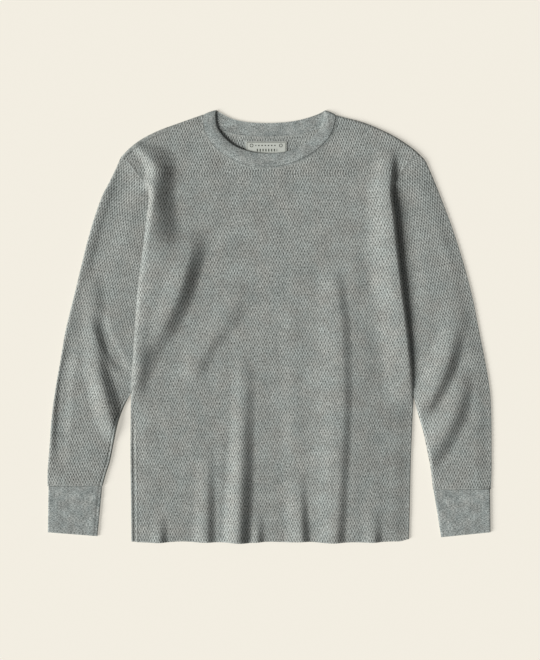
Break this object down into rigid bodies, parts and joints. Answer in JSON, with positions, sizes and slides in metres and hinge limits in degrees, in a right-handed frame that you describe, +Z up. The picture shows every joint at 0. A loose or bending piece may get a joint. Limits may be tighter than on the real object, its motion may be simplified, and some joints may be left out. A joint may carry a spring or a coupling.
{
  "type": "thermal top",
  "caption": "Long-sleeved crew neck thermal top of grey waffle knit with plain knit neckband and cuffs, laid flat on its back with soft folds.",
  "frame": {"origin": "middle of the laid-out top's outline, on the surface that it lies on", "axes": "+Z up out of the front, +Y from the hem towards the neck, +X to the viewer's right as the front is looked at"},
  "size_m": [0.7206, 0.7012, 0.0174],
  "materials": {
    "waffle_knit": "matte heathered cotton waffle knit",
    "plain_knit": "matte heathered plain knit, laid double",
    "woven_label": "smooth woven tape, off-white"
  },
  "bodies": {
    "root": {"front": "waffle_knit", "back": "waffle_knit", "sleeve_left": "waffle_knit", "sleeve_right": "waffle_knit", "cuff_left": "plain_knit", "cuff_right": "plain_knit", "neckband": "plain_knit", "label": "woven_label"}
  },
  "joints": []
}
